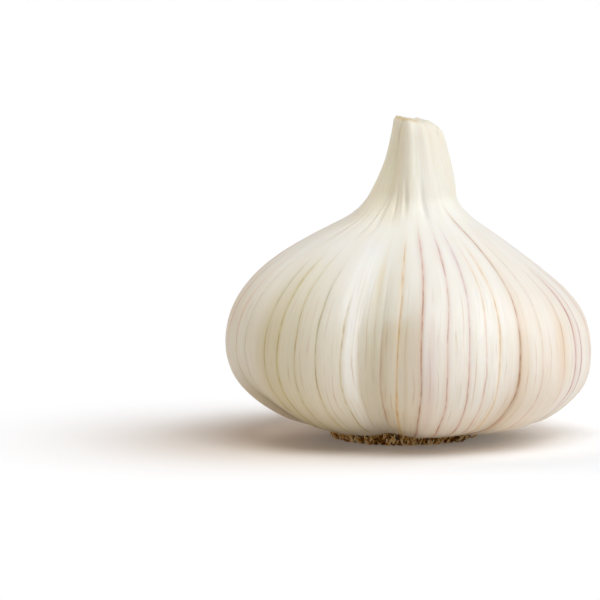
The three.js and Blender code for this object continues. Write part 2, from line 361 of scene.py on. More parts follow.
def neck_relief(degrees, station):
    """Pleats, creases and the short outer sheath of the neck."""
    total = np.zeros((len(station), len(degrees)))
    for at, height, left, right, first, last in NECK_PLEATS:
        away = turned(degrees, at)
        near = 1 - np.abs(away) / np.where(away < 0, left, right)
        share = smooth(station, first - PLEAT_FADE, first + PLEAT_FADE)
        share = share * (1 - smooth(station, last - PLEAT_FADE, last + PLEAT_FADE))
        total += height * share[:, None] * smooth(near, 0, 1)[None]
    (start, end), (fade_in, fade_out) = SHEATH_SPAN, SHEATH_FADES
    over = smooth(degrees, start, start + fade_in) * (1 - smooth(degrees, end - fade_out, end))
    worn = sum(height * np.sin(degrees * turns) for height, turns in SHEATH_WEAR)
    edge = SHEATH_END + worn[None] + SHEATH_RISE * (1 - over[None])
    reach = smooth(station, *SHEATH_FOOT)[:, None]
    covered = 1 - smooth(station[:, None] - edge, -SHEATH_EDGE, SHEATH_EDGE)
    return total + SHEATH_STEP * over[None] * reach * covered


def skin_points(degrees, station):
    """Points of the skin in millimetres, as [station, column, axis]."""
    angle = np.radians(degrees[None] + twist(degrees, station))
    side = ((1 + np.sin(angle)) / 2)[..., None]
    left, left_along = outline_at(LEFT_OUTLINE, station)
    right, right_along = outline_at(RIGHT_OUTLINE, station)
    at = left[:, None] * (1 - side) + right[:, None] * side
    along = left_along[:, None] * (1 - side) + right_along[:, None] * side
    along /= np.linalg.norm(along, axis=2)[..., None]
    folds = sum(h * np.cos(np.radians(n * degrees + phase)) for n, h, phase in NECK_FOLDS)
    valley_share = LOW_VALLEY_SHARE + (1 - LOW_VALLEY_SHARE) * smooth(station, 0, VALLEY_START)
    push = smooth(station, *FOLD_STATIONS)[:, None] * folds[None] + neck_relief(degrees, station)
    push = push - valley_share[:, None] * valley_dip(degrees, station)
    r = at[..., 0] + along[..., 1] * push
    z = at[..., 1] - along[..., 0] * push
    lean = NECK_LEAN * smooth(z, NECK_FOOT, NECK_TOP)
    return np.stack([r * np.sin(angle), lean - r * np.cos(angle), z], axis=2)


# Mesh helpers


def closed_rings(name, rings, first_pole, last_pole, across, along):
    """A closed mesh through rings of points in millimetres, with a UV map of across and along.

    across has one value more than a ring has points, for the seam's second side.
    """
    rows, n = rings.shape[:2]
    i = np.arange(n)
    j = (i + 1) % n
    low = (np.arange(rows - 1) * n)[:, None]
    quads = np.stack([low + i, low + j, low + n + j, low + n + i], axis=2).reshape(-1, 4)
    first = rows * n
    top = (rows - 1) * n
    fans = np.concatenate([
        np.stack([np.full(n, first), j, i], axis=1),
        np.stack([np.full(n, first + 1), top + i, top + j], axis=1),
    ])
    points = np.concatenate([rings.reshape(-1, 3), [first_pole, last_pole]]) * MM
    mesh = bpy.data.meshes.new(name)
    mesh.from_pydata(points.tolist(), [], quads.tolist() + fans.tolist())
    u = np.stack([across[:-1], across[1:], across[1:], across[:-1]], axis=1)
    u = np.tile(u, (rows - 1, 1))
    v = np.stack([along[:-1], along[:-1], along[1:], along[1:]], axis=1)
    v = np.repeat(v, n, axis=0)
    middle = (across[:-1] + across[1:]) / 2
    fan_u = np.concatenate([
        np.stack([middle, across[1:], across[:-1]], axis=1),
        np.stack([middle, across[:-1], across[1:]], axis=1),
    ])
    fan_v = np.repeat([along[0], along[-1]], n)[:, None] * np.ones(3)
    uv = np.concatenate([
        np.stack([u, v], axis=2).reshape(-1, 2),
        np.stack([fan_u, fan_v], axis=2).reshape(-1, 2),
    ])
    mesh.uv_layers.new(name="across_along").data.foreach_set("uv", uv.ravel())
    mesh.polygons.foreach_set("use_smooth", np.ones(len(mesh.polygons), bool))
    mesh.update()
    return mesh


def keep_on_points(mesh, name, values):
    """Stores a number or a colour for each point of a mesh."""
    values = np.asarray(values, np.float32)
    if values.ndim == 1:
        mesh.attributes.new(name, "FLOAT", "POINT").data.foreach_set("value", values)
    else:
        rgba = np.concatenate([values, np.ones((len(values), 1), np.float32)], axis=1)
        mesh.attributes.new(name, "FLOAT_COLOR", "POINT").data.foreach_set("color", rgba.ravel())


def new_object(name, mesh):
    piece = bpy.data.objects.new(name, mesh)
    bpy.context.scene.collection.objects.link(piece)
    return piece


def add(tree, kind, inputs=(), **settings):
    """Adds a node. inputs maps a socket to a value, to another socket, or to a node's first output."""
    node = tree.nodes.new(kind)
    for key, value in settings.items():
        setattr(node, key, value)
    for key, value in dict(inputs).items():
        if isinstance(value, bpy.types.Node):
            value = value.outputs[0]
        if isinstance(value, bpy.types.NodeSocket):
            tree.links.new(value, node.inputs[key])
        else:
            node.inputs[key].default_value = value
    return node


def blank_material(name):
    material = bpy.data.materials.new(name)
    material.use_nodes = True
    material.node_tree.nodes.clear()
    return material, material.node_tree


def new_tree(name, sockets):
    """A Geometry Nodes tree with a geometry input and output, and named inputs of its own."""
    tree = bpy.data.node_groups.new(name, "GeometryNodeTree")
    tree.interface.new_socket("Geometry", in_out="OUTPUT", socket_type="NodeSocketGeometry")
    tree.interface.new_socket("Geometry", in_out="INPUT", socket_type="NodeSocketGeometry")
    for socket, kind in sockets.items():
        tree.interface.new_socket(socket, in_out="INPUT", socket_type=kind)
    return tree, tree.nodes.new("NodeGroupInput").outputs


def grow(piece, tree, values):
    """Runs a tree on a piece with the given inputs, and leaves the result as its plain mesh."""
    modifier = piece.modifiers.new(tree.name, "NODES")
    modifier.node_group = tree
    for item in tree.interface.items_tree:
        if item.in_out == "INPUT" and item.name in values:
            modifier[item.identifier] = values[item.name]
    view = bpy.context.evaluated_depsgraph_get()
    grown = bpy.data.meshes.new_from_object(piece.evaluated_get(view))
    piece.modifiers.remove(modifier)
    piece.data = grown
    return piece


def skin_noise(tree, u, v, pattern, radius=BELLY_RADIUS, seed=None):
    """Uneven pattern that runs round the bulb without a seam and is drawn out along it."""
    width, along, detail, roughness = pattern
    turn = add(tree, "ShaderNodeMath", {0: u, 1: 2 * math.pi / VEIN_COUNT}, operation="MULTIPLY")
    cosine = add(tree, "ShaderNodeMath", {0: turn}, operation="COSINE")
    sine = add(tree, "ShaderNodeMath", {0: turn}, operation="SINE")
    flat = add(tree, "ShaderNodeCombineXYZ", {0: cosine, 1: sine})
    wide = add(tree, "ShaderNodeVectorMath", {0: flat, "Scale": radius / width}, operation="SCALE")
    high = add(tree, "ShaderNodeMath", {0: v, 1: along}, operation="MULTIPLY")
    rise = add(tree, "ShaderNodeCombineXYZ", {2: high})
    place = add(tree, "ShaderNodeVectorMath", {0: wide, 1: rise}, operation="ADD")
    look = {"Vector": place, "Scale": 1.0, "Detail": detail, "Roughness": roughness}
    if seed is None:
        return add(tree, "ShaderNodeTexNoise", look)
    return add(tree, "ShaderNodeTexNoise", {**look, "W": seed}, noise_dimensions="4D")


def from_vein(tree, u, pitch):
    """Signed distance from the nearest vein: u is whole at each vein, pitch is the gap between two."""
    shifted = add(tree, "ShaderNodeMath", {0: u, 1: 0.5}, operation="ADD")
    share = add(tree, "ShaderNodeMath", {0: shifted}, operation="FRACT")
    centred = add(tree, "ShaderNodeMath", {0: share, 1: 0.5}, operation="SUBTRACT")
    return add(tree, "ShaderNodeMath", {0: centred, 1: pitch}, operation="MULTIPLY")


def bell(tree, distance, width):
    """1 on a line and falling to 0 away from it, over about the width."""
    share = add(tree, "ShaderNodeMath", {0: distance, 1: width}, operation="DIVIDE")
    square = add(tree, "ShaderNodeMath", {0: share, 1: share}, operation="MULTIPLY")
    minus = add(tree, "ShaderNodeMath", {0: square, 1: -1.0}, operation="MULTIPLY")
    return add(tree, "ShaderNodeMath", {0: minus}, operation="EXPONENT")


# The skin


def ribs_tree():
    """Panels that swell between the veins, and the fine wrinkles of dried skin."""
    tree, inputs = new_tree("ribs", {
        "Crown": "NodeSocketFloat",
        "Groove depth": "NodeSocketFloat",
        "Groove width": "NodeSocketFloat",
        "Wrinkle height": "NodeSocketFloat",
        "Pleat height": "NodeSocketFloat",
        "Seed": "NodeSocketFloat",
        "Material": "NodeSocketMaterial",
    })
    kept = {
        name: add(tree, "GeometryNodeInputNamedAttribute", {0: name}, data_type="FLOAT")
        for name in ("vein_at", "station", "pitch", "ribbed", "pleated", "loose")
    }
    u = kept["vein_at"]
    distance = from_vein(tree, u, kept["pitch"])
    groove = bell(tree, distance, inputs["Groove width"])
    dip = add(tree, "ShaderNodeMath", {0: groove, 1: inputs["Groove depth"]}, operation="MULTIPLY")
    share = add(tree, "ShaderNodeMath", {0: u}, operation="FRACT")
    centred = add(tree, "ShaderNodeMath", {0: share, 1: 0.5}, operation="SUBTRACT")
    square = add(tree, "ShaderNodeMath", {0: centred, 1: centred}, operation="MULTIPLY")
    swell = add(tree, "ShaderNodeMath", {0: square, 1: -4.0, 2: 1.0}, operation="MULTIPLY_ADD")
    crown = add(tree, "ShaderNodeMath", {0: swell, 1: inputs["Crown"]}, operation="MULTIPLY")
    rib = add(tree, "ShaderNodeMath", {0: crown, 1: dip}, operation="SUBTRACT")
    rib = add(tree, "ShaderNodeMath", {0: rib, 1: kept["ribbed"]}, operation="MULTIPLY")

    def uneven(pattern, height, where):
        noise = skin_noise(tree, u, kept["station"], pattern, seed=inputs["Seed"])
        noise = add(tree, "ShaderNodeMath", {0: noise, 1: 0.5}, operation="SUBTRACT")
        noise = add(tree, "ShaderNodeMath", {0: noise, 1: inputs[height]}, operation="MULTIPLY")
        return add(tree, "ShaderNodeMath", {0: noise, 1: kept[where]}, operation="MULTIPLY")

    wrinkle = uneven(WRINKLES, "Wrinkle height", "loose")
    pleat = uneven(PLEATS, "Pleat height", "pleated")
    fine = add(tree, "ShaderNodeMath", {0: wrinkle, 1: pleat}, operation="ADD")
    height = add(tree, "ShaderNodeMath", {0: rib, 1: fine}, operation="ADD")
    normal = tree.nodes.new("GeometryNodeInputNormal")
    offset = add(tree, "ShaderNodeVectorMath", {0: normal, "Scale": height}, operation="SCALE")
    moved = add(tree, "GeometryNodeSetPosition", {"Geometry": inputs["Geometry"], "Offset": offset})
    real = add(tree, "GeometryNodeRealizeInstances", {0: moved})
    painted = add(
        tree, "GeometryNodeSetMaterial", {"Geometry": real, "Material": inputs["Material"]},
    )
    add(tree, "NodeGroupOutput", {0: painted})
    return tree


TAN_MIDDLE = -30  # degrees
TAN_REACH = (35, 70)  # degrees from the middle
TAN_LEAST = 0.2


def tanned(degrees):
    """Share of dried tan edge round the cut, most of it on the front left."""
    near = 1 - smooth(np.abs(turned(degrees, TAN_MIDDLE)), *TAN_REACH)
    return TAN_LEAST + (1 - TAN_LEAST) * near


def skin_colours(degrees, station):
    """Colour of the skin before its veins and fibres, with its stains and its painted shade and
    highlights, as [station, column, rgb].
    """
    colour = np.empty((len(station), len(degrees), 3))
    colour[:] = linear(SKIN_TONE)

    def tint(code, share):
        colour[:] += (np.array(linear(code)) - colour) * share[..., None]

    tint(FOOT_TONE, (1 - smooth(station, *FOOT_TONE_OUT))[:, None] * FOOT_SHARE)
    tint(NECK_TONE, smooth(station, *NECK_TONE_IN)[:, None])
    tint(RIM_TONE, smooth(station, *RIM_TONE_IN)[:, None] * tanned(degrees)[None] * RIM_SHARE)
    for at, level, wide, high, edge, code, share in STAINS_AND_PAINTED_LIGHT:
        across = np.abs(turned(degrees, at) / wide)
        along = np.abs((station - level) / high)
        tint(code, np.exp(-across[None] ** edge - along[:, None] ** edge) * share)
    return colour


def make_skin(material):
    """The whole papery sheath, from its seat on the root plate to the middle of the cut."""
    veins = vein_table()
    count = len(veins)
    start = np.array([v[0] for v in veins])
    pitch = np.append(start[1:], start[0] + 360) - start
    share = np.arange(COLUMNS_PER_PANEL) / COLUMNS_PER_PANEL
    share = share - COLUMN_CROWDING * np.sin(2 * np.pi * share) / (2 * np.pi)
    across = (np.arange(count)[:, None] + share[None]).ravel()
    degrees = (start[:, None] + pitch[:, None] * share[None]).ravel()
    station = np.linspace(0, LAST_STATION, LAST_STATION * ROWS_PER_STATION + 1)

    skin = skin_points(degrees, station)
    turned_in = smooth(station, EDGE_STATION, LAST_STATION) ** 2 * EDGE_ROUNDING
    inwards = (skin.mean(axis=1, keepdims=True) - skin) * turned_in[:, None, None]
    skin[..., :2] += inwards[..., :2]
    rim = skin[-1]
    middle = rim.mean(axis=0)
    ragged = RAGGED_HEIGHT * sum(np.sin(np.radians(n * degrees + phase)) for n, phase in RAGGED_WAVES)
    cut = []
    for i, (size, rise) in enumerate(CUT_RINGS):
        ring = middle + (rim - middle) * size
        ring[:, 2] += rise + ragged * np.sin(i * RAGGED_TURN)
        cut.append(ring)
    angle = np.radians(degrees)
    round_ring = np.stack([np.sin(angle), -np.cos(angle), np.zeros(len(angle))], axis=1)
    seat = [
        round_ring * SEAT_RADIUS + [PLATE_SHIFT, 0, SEAT_TOP],
        round_ring * SEAT_RADIUS + [PLATE_SHIFT, 0, SEAT_LIP_HEIGHT],
    ]
    rings = np.concatenate([seat, skin, cut])
    along = np.concatenate([
        SEAT_STATIONS, station, LAST_STATION + np.linspace(0.05, 1, len(CUT_RINGS)),
    ])
    last_pole = middle + [0, 0, CUT_MIDDLE]
    mesh = closed_rings(
        "bulb_skin", rings, (PLATE_SHIFT, 0, SEAT_TOP), last_pole, np.append(across, count), along,
    )

    def keep(name, grid):
        flat = grid.reshape(len(along) * len(degrees), *grid.shape[2:])
        ends = np.stack([grid[0].mean(axis=0), grid[-1].mean(axis=0)])
        keep_on_points(mesh, name, np.concatenate([flat, ends]))

    full = np.ones((len(along), len(degrees)))
    nearest = np.round(across).astype(int) % count
    radius = np.hypot(rings[..., 0], rings[..., 1])
    width = np.repeat(np.radians(pitch), COLUMNS_PER_PANEL)
    ribbed = smooth(along, *RIBS_IN) * (1 - smooth(along, *RIBS_OUT))
    pleated = smooth(along, *PLEATS_IN) * (1 - PLEATS_LOST * smooth(along, *PLEATS_LESS))
    pleated = pleated * (along <= LAST_STATION)
    loose = 1 - WRINKLES_LOST * smooth(along, *SKIN_TIGHTENS)
    keep("vein_at", full * across[None])
    keep("station", full * along[:, None])
    keep("pitch", radius * width[None] * MM)
    keep("ribbed", full * ribbed[:, None])
    keep("pleated", full * pleated[:, None])
    keep("loose", full * loose[:, None])
    cut_share = smooth(along - LAST_STATION, *CUT_TONE_IN)
    keep("cut", cut_share[:, None] * tanned(degrees)[None])

    strength, first, last = (np.array([v[i] for v in veins])[nearest] for i in (3, 4, 5))
    shown = smooth(along[:, None] - first[None], *VEIN_FADE_IN)
    shown = shown * (1 - smooth(along[:, None] - last[None], *VEIN_FADE_OUT))
    shown = shown * (1 + LOW_END_FORCE * (1 - smooth(along, *LOW_END))[:, None])
    keep("vein_force", strength[None] * shown)
    above, below = (np.array([linear(TONES[v[i]]) for v in veins])[nearest] for i in (1, 2))
    changed_at = TONE_CHANGE_WANDER * np.sin(degrees)  # uneven from column to column
    high = smooth(along[:, None] + changed_at[None], *TONE_CHANGE)[..., None]
    keep("vein_tone", below * (1 - high) + above * high)
    keep("skin_colour", skin_colours(degrees, along))

    skin_piece = new_object("bulb_skin", mesh)
    return grow(skin_piece, ribs_tree(), {
        "Crown": 0.05 * MM,
        "Groove depth": 0.04 * MM,
        "Groove width": 0.22 * MM,
        "Wrinkle height": 0.3 * MM,
        "Pleat height": 0.16 * MM,
        "Seed": 3.0,
        "Material": material,
    })


def sheath_material():
    """Dried garlic sheath: thin layered paper, satin, with light passing a little way into it."""
    material, tree = blank_material("dried_garlic_sheath")
    place = add(tree, "ShaderNodeUVMap", uv_map="across_along")
    split = add(tree, "ShaderNodeSeparateXYZ", {0: place})
    u, v = split.outputs[0], split.outputs[1]
    kept = {
        name: add(tree, "ShaderNodeAttribute", attribute_name=name)
        for name in ("pitch", "vein_force", "vein_tone", "skin_colour", "cut")
    }
    pitch = kept["pitch"].outputs["Fac"]
    force = kept["vein_force"].outputs["Fac"]

    # The shoulder is smoother than the belly and the neck.
    belly = add(
        tree, "ShaderNodeMapRange",
        {"Value": v, "From Min": 5.5, "From Max": 8.5, "To Min": 1.0, "To Max": 0.12},
        interpolation_type="SMOOTHSTEP",
    )
    neck = add(
        tree, "ShaderNodeMapRange",
        {"Value": v, "From Min": 9.5, "From Max": 11.5, "To Min": 0.0, "To Max": 0.9},
        interpolation_type="SMOOTHSTEP",
    )
    coarse = add(tree, "ShaderNodeMath", {0: belly, 1: neck}, operation="MAXIMUM")

    # Panels differ a little, and their fibres run the length of the bulb.
    patches, streaks, fibres, bends, breaks, fine_breaks = (
        skin_noise(tree, u, v, pattern)
        for pattern in (PATCHES, STREAKS, FIBRES, VEIN_BENDS, VEIN_BREAKS, FINE_VEIN_BREAKS)
    )
    patch_share = add(
        tree, "ShaderNodeMapRange",
        {"Value": patches, "From Min": 0.42, "From Max": 0.68, "To Min": 0.0, "To Max": 0.25},
        interpolation_type="SMOOTHSTEP",
    )
    streak_share = add(
        tree, "ShaderNodeMapRange",
        {"Value": streaks, "From Min": 0.45, "From Max": 0.75, "To Min": 0.0, "To Max": 0.25},
    )
    streak_share = add(tree, "ShaderNodeMath", {0: streak_share, 1: coarse}, operation="MULTIPLY")
    fibre_share = add(
        tree, "ShaderNodeMapRange",
        {"Value": fibres, "From Min": 0.5, "From Max": 0.8, "To Min": 0.0, "To Max": 0.2},
    )
    fibre_share = add(tree, "ShaderNodeMath", {0: fibre_share, 1: coarse}, operation="MULTIPLY")

    # Fine veins, three to a panel, come and go.
    wander = add(tree, "ShaderNodeMath", {0: bends, 1: 0.5}, operation="SUBTRACT")
    wander = add(tree, "ShaderNodeMath", {0: wander, 1: VEIN_WANDER * MM}, operation="MULTIPLY")
    fine_u = add(tree, "ShaderNodeMath", {0: u, 1: FINE_VEINS_PER_PANEL}, operation="MULTIPLY")
    gap = add(tree, "ShaderNodeMath", {0: pitch, 1: 1 / FINE_VEINS_PER_PANEL}, operation="MULTIPLY")
    fine_at = from_vein(tree, fine_u, gap)
    fine_shift = add(tree, "ShaderNodeMath", {0: wander, 1: FINE_VEIN_WANDER}, operation="MULTIPLY")
    fine_at = add(tree, "ShaderNodeMath", {0: fine_at, 1: fine_shift}, operation="ADD")
    fine_force = add(
        tree, "ShaderNodeMapRange",
        {"Value": fine_breaks, "From Min": 0.46, "From Max": 0.74, "To Min": 0.0, "To Max": 0.6},
    )
    fine = bell(tree, fine_at, FINE_VEIN_WIDTH * MM)
    fine = add(tree, "ShaderNodeMath", {0: fine, 1: fine_force}, operation="MULTIPLY")
    fine = add(tree, "ShaderNodeMath", {0: fine, 1: belly}, operation="MULTIPLY")

    colour = kept["skin_colour"]
    for share, tone in (
        (patch_share, PATCH_TONE), (streak_share, STREAK_TONE), (fibre_share, FIBRE_TONE),
        (fine, FINE_VEIN_TONE),
    ):
        colour = add(
            tree, "ShaderNodeMix", {0: share, 6: colour, 7: (*linear(tone), 1)}, data_type="RGBA",
        ).outputs[2]

    # Veins: a thin broken line with a soft stain on both sides, and short dark dashes in the line.
    distance = from_vein(tree, u, pitch)
    distance = add(tree, "ShaderNodeMath", {0: distance, 1: wander}, operation="ADD")
    unbroken = add(
        tree, "ShaderNodeMapRange",
        {"Value": breaks, "From Min": 0.35, "From Max": 0.6, "To Min": 0.25, "To Max": 1.0},
    )
    line = bell(tree, distance, VEIN_WIDTH * MM)
    line = add(tree, "ShaderNodeMath", {0: line, 1: force}, operation="MULTIPLY")
    line = add(tree, "ShaderNodeMath", {0: line, 1: unbroken}, operation="MULTIPLY")
    halo = bell(tree, distance, HALO_WIDTH * MM)
    halo = add(tree, "ShaderNodeMath", {0: halo, 1: force}, operation="MULTIPLY")
    halo = add(tree, "ShaderNodeMath", {0: halo, 1: HALO_SHARE}, operation="MULTIPLY")
    dashes = add(
        tree, "ShaderNodeMapRange",
        {"Value": breaks, "From Min": 0.5, "From Max": 0.64, "To Min": 0.0, "To Max": 0.4},
    )
    line_colour = add(
        tree, "ShaderNodeMix",
        {0: dashes, 6: kept["vein_tone"], 7: (*linear(DASH_TONE), 1)},
        data_type="RGBA",
    ).outputs[2]
    # The cut end shows the tan edges of the sheaths.
    cut_colour = add(
        tree, "ShaderNodeMix",
        {0: fibres, 6: (*linear(CUT_DARK), 1), 7: (*linear(CUT_LIGHT), 1)},
        data_type="RGBA",
    ).outputs[2]
    cut = kept["cut"].outputs["Fac"]
    for share, over in ((halo, kept["vein_tone"]), (line, line_colour), (cut, cut_colour)):
        colour = add(
            tree, "ShaderNodeMix", {0: share, 6: colour, 7: over}, data_type="RGBA",
        ).outputs[2]

    ridge = add(tree, "ShaderNodeMath", {0: streaks, 1: fibres}, operation="ADD")
    ridge = add(tree, "ShaderNodeMath", {0: ridge, 1: coarse}, operation="MULTIPLY")
    bump = add(tree, "ShaderNodeBump", {"Height": ridge, "Strength": 0.6, "Distance": 0.05 * MM})
    shine = add(
        tree, "ShaderNodeMapRange",
        {"Value": streaks, "From Min": 0.3, "From Max": 0.7, "To Min": 0.42, "To Max": 0.58},
    )
    surface = add(tree, "ShaderNodeBsdfPrincipled", {
        "Base Color": colour,
        "Roughness": shine,
        "IOR": 1.45,
        "Subsurface Weight": 0.25,
        "Subsurface Radius": (1.0, 0.7, 0.4),
        "Subsurface Scale": 1.2 * MM,
        "Normal": bump,
    })
    add(tree, "ShaderNodeOutputMaterial", {"Surface": surface})
    return material


# The root plate

DISH_SIZE = 0.95  # of the CAD plate's, because the loose stubs stand out round it
DISH_COLUMNS = 180
DISH_ROWS_PER_STATION = 6
DISH_SHRINK = [(9, 1.0, 1), (23, 0.7, 2), (41, 0.5, 0)]  # waves round it, share, phase in radians
DISH_SHRINK_HEIGHT = 0.07
DISH_SHRINK_IN = (0.2, 1.5)  # stations
DISH_SHRINK_OUT = (3.0, 4.0)
DISH_FIRST_RING = 0.15  # station
PLATE_RADIUS = 11.2
CORK_RAYS = (0.8, 5.0, 4.0, 0.65)  # like the skin's patterns, with the width at the plate's rim
CORK_DARK = "#b38a55"
CORK_LIGHT = "#e8cfa4"
# Painted shade for the gaps between the stubs.
PLATE_RIM_PAINTED_SHADE = "#3a2510"
STUB_SHADES = [(0.0, "#4c2d0a"), (0.35, "#b67d2f"), (0.6, "#f5cb76"), (1.0, "#fff2cc")]
STUB_SPECKLE = 1.6  # how strongly each one's shade varies over it
CRUMB_SIZE = 1.15  # times the stubs' radius
SHAPES = 3  # thin curled fibre, crumb, stub
FIBRE_KIND = 0.0  # the fibre's number among them


def dish_material():
    """Dried root plate: corky fibre that runs out from the middle, matt and tan, with painted shade on its
    rim behind the stubs.
    """
    material, tree = blank_material("corky_root_plate")
    place = add(tree, "ShaderNodeUVMap", uv_map="across_along")
    split = add(tree, "ShaderNodeSeparateXYZ", {0: place})
    rays = skin_noise(tree, split.outputs[0], split.outputs[1], CORK_RAYS, radius=PLATE_RADIUS)
    where = tree.nodes.new("ShaderNodeTexCoord")
    crumbs = add(
        tree, "ShaderNodeTexNoise",
        {"Vector": where.outputs["Object"], "Scale": 0.9 / MM, "Detail": 4.0, "Roughness": 0.6},
    )
    mixed = add(tree, "ShaderNodeMath", {0: rays, 1: crumbs}, operation="ADD")
    share = add(
        tree, "ShaderNodeMapRange",
        {"Value": mixed, "From Min": 0.75, "From Max": 1.25, "To Min": 0.0, "To Max": 1.0},
    )
    colour = add(
        tree, "ShaderNodeMix",
        {0: share, 6: (*linear(CORK_DARK), 1), 7: (*linear(CORK_LIGHT), 1)},
        data_type="RGBA",
    ).outputs[2]
    # Painted shade: the rim behind the stubs is darkened to stand for the shade in the gaps between them.
    rim = add(
        tree, "ShaderNodeMapRange",
        {"Value": split.outputs[1], "From Min": 5.0, "From Max": 6.0, "To Min": 0.0, "To Max": 0.85},
        interpolation_type="SMOOTHSTEP",
    )
    colour = add(
        tree, "ShaderNodeMix",
        {0: rim, 6: colour, 7: (*linear(PLATE_RIM_PAINTED_SHADE), 1)},
        data_type="RGBA",
    ).outputs[2]
    bump = add(tree, "ShaderNodeBump", {"Height": mixed, "Strength": 0.8, "Distance": 0.25 * MM})
    surface = add(tree, "ShaderNodeBsdfPrincipled", {
        "Base Color": colour, "Roughness": 0.9, "IOR": 1.4, "Normal": bump,
    })
    add(tree, "ShaderNodeOutputMaterial", {"Surface": surface})
    return material


def stub_material():
    """Cut dry roots: brittle, matt, from pale gold to dark brown, each its own shade."""
    material, tree = blank_material("dry_root_stubs")
    shade = add(tree, "ShaderNodeAttribute", attribute_name="stub_shade").outputs["Fac"]
    where = tree.nodes.new("ShaderNodeTexCoord")
    crumbs = add(
        tree, "ShaderNodeTexNoise",
        {"Vector": where.outputs["Object"], "Scale": 4.5 / MM, "Detail": 2.0},
    )
    spread = add(tree, "ShaderNodeMath", {0: crumbs, 1: 0.5}, operation="SUBTRACT")
    share = add(tree, "ShaderNodeMath", {0: spread, 1: STUB_SPECKLE, 2: shade}, operation="MULTIPLY_ADD")
    ramp = tree.nodes.new("ShaderNodeValToRGB")
    tree.links.new(share.outputs[0], ramp.inputs[0])
    while len(ramp.color_ramp.elements) < len(STUB_SHADES):
        ramp.color_ramp.elements.new(0.5)
    for element, (position, code) in zip(ramp.color_ramp.elements, STUB_SHADES):
        element.position = position
        element.color = (*linear(code), 1)
    bump = add(tree, "ShaderNodeBump", {"Height": crumbs, "Strength": 0.9, "Distance": 0.15 * MM})
    surface = add(tree, "ShaderNodeBsdfPrincipled", {
        "Base Color": ramp, "Roughness": 0.85, "IOR": 1.4, "Normal": bump,
    })
    add(tree, "ShaderNodeOutputMaterial", {"Surface": surface})
    return material


def make_dish(material):
    """The dished disc, with low rays and hollows of shrunken tissue inside."""
    last = len(PLATE_OUTLINE) - 1
    station = np.linspace(DISH_FIRST_RING, last, last * DISH_ROWS_PER_STATION)
    outline, _ = outline_at(PLATE_OUTLINE, station)
    angle = np.arange(DISH_COLUMNS) / DISH_COLUMNS * 2 * np.pi
    r, z = outline[:, 0] * DISH_SIZE, np.maximum(outline[:, 1], 0)
    rings = np.stack([
        np.outer(r, np.sin(angle)),
        np.outer(r, -np.cos(angle)),
        np.outer(z, np.ones(DISH_COLUMNS)),
    ], axis=2)
    inside = smooth(station, *DISH_SHRINK_IN) * (1 - smooth(station, *DISH_SHRINK_OUT))
    rays = sum(share * np.sin(angle * n + phase) for n, share, phase in DISH_SHRINK)
    rings[..., 2] += DISH_SHRINK_HEIGHT * inside[:, None] * rays[None]
    rings[..., 2] = np.maximum(rings[..., 2], 0)
    across = np.arange(DISH_COLUMNS + 1) / DISH_COLUMNS * VEIN_COUNT
    bottom = (0, 0, PLATE_OUTLINE[0][1])
    top = (0, 0, PLATE_OUTLINE[-1][1])
    mesh = closed_rings("root_dish", rings, bottom, top, across, station)
    mesh.materials.append(material)
    return new_object("root_dish", mesh)


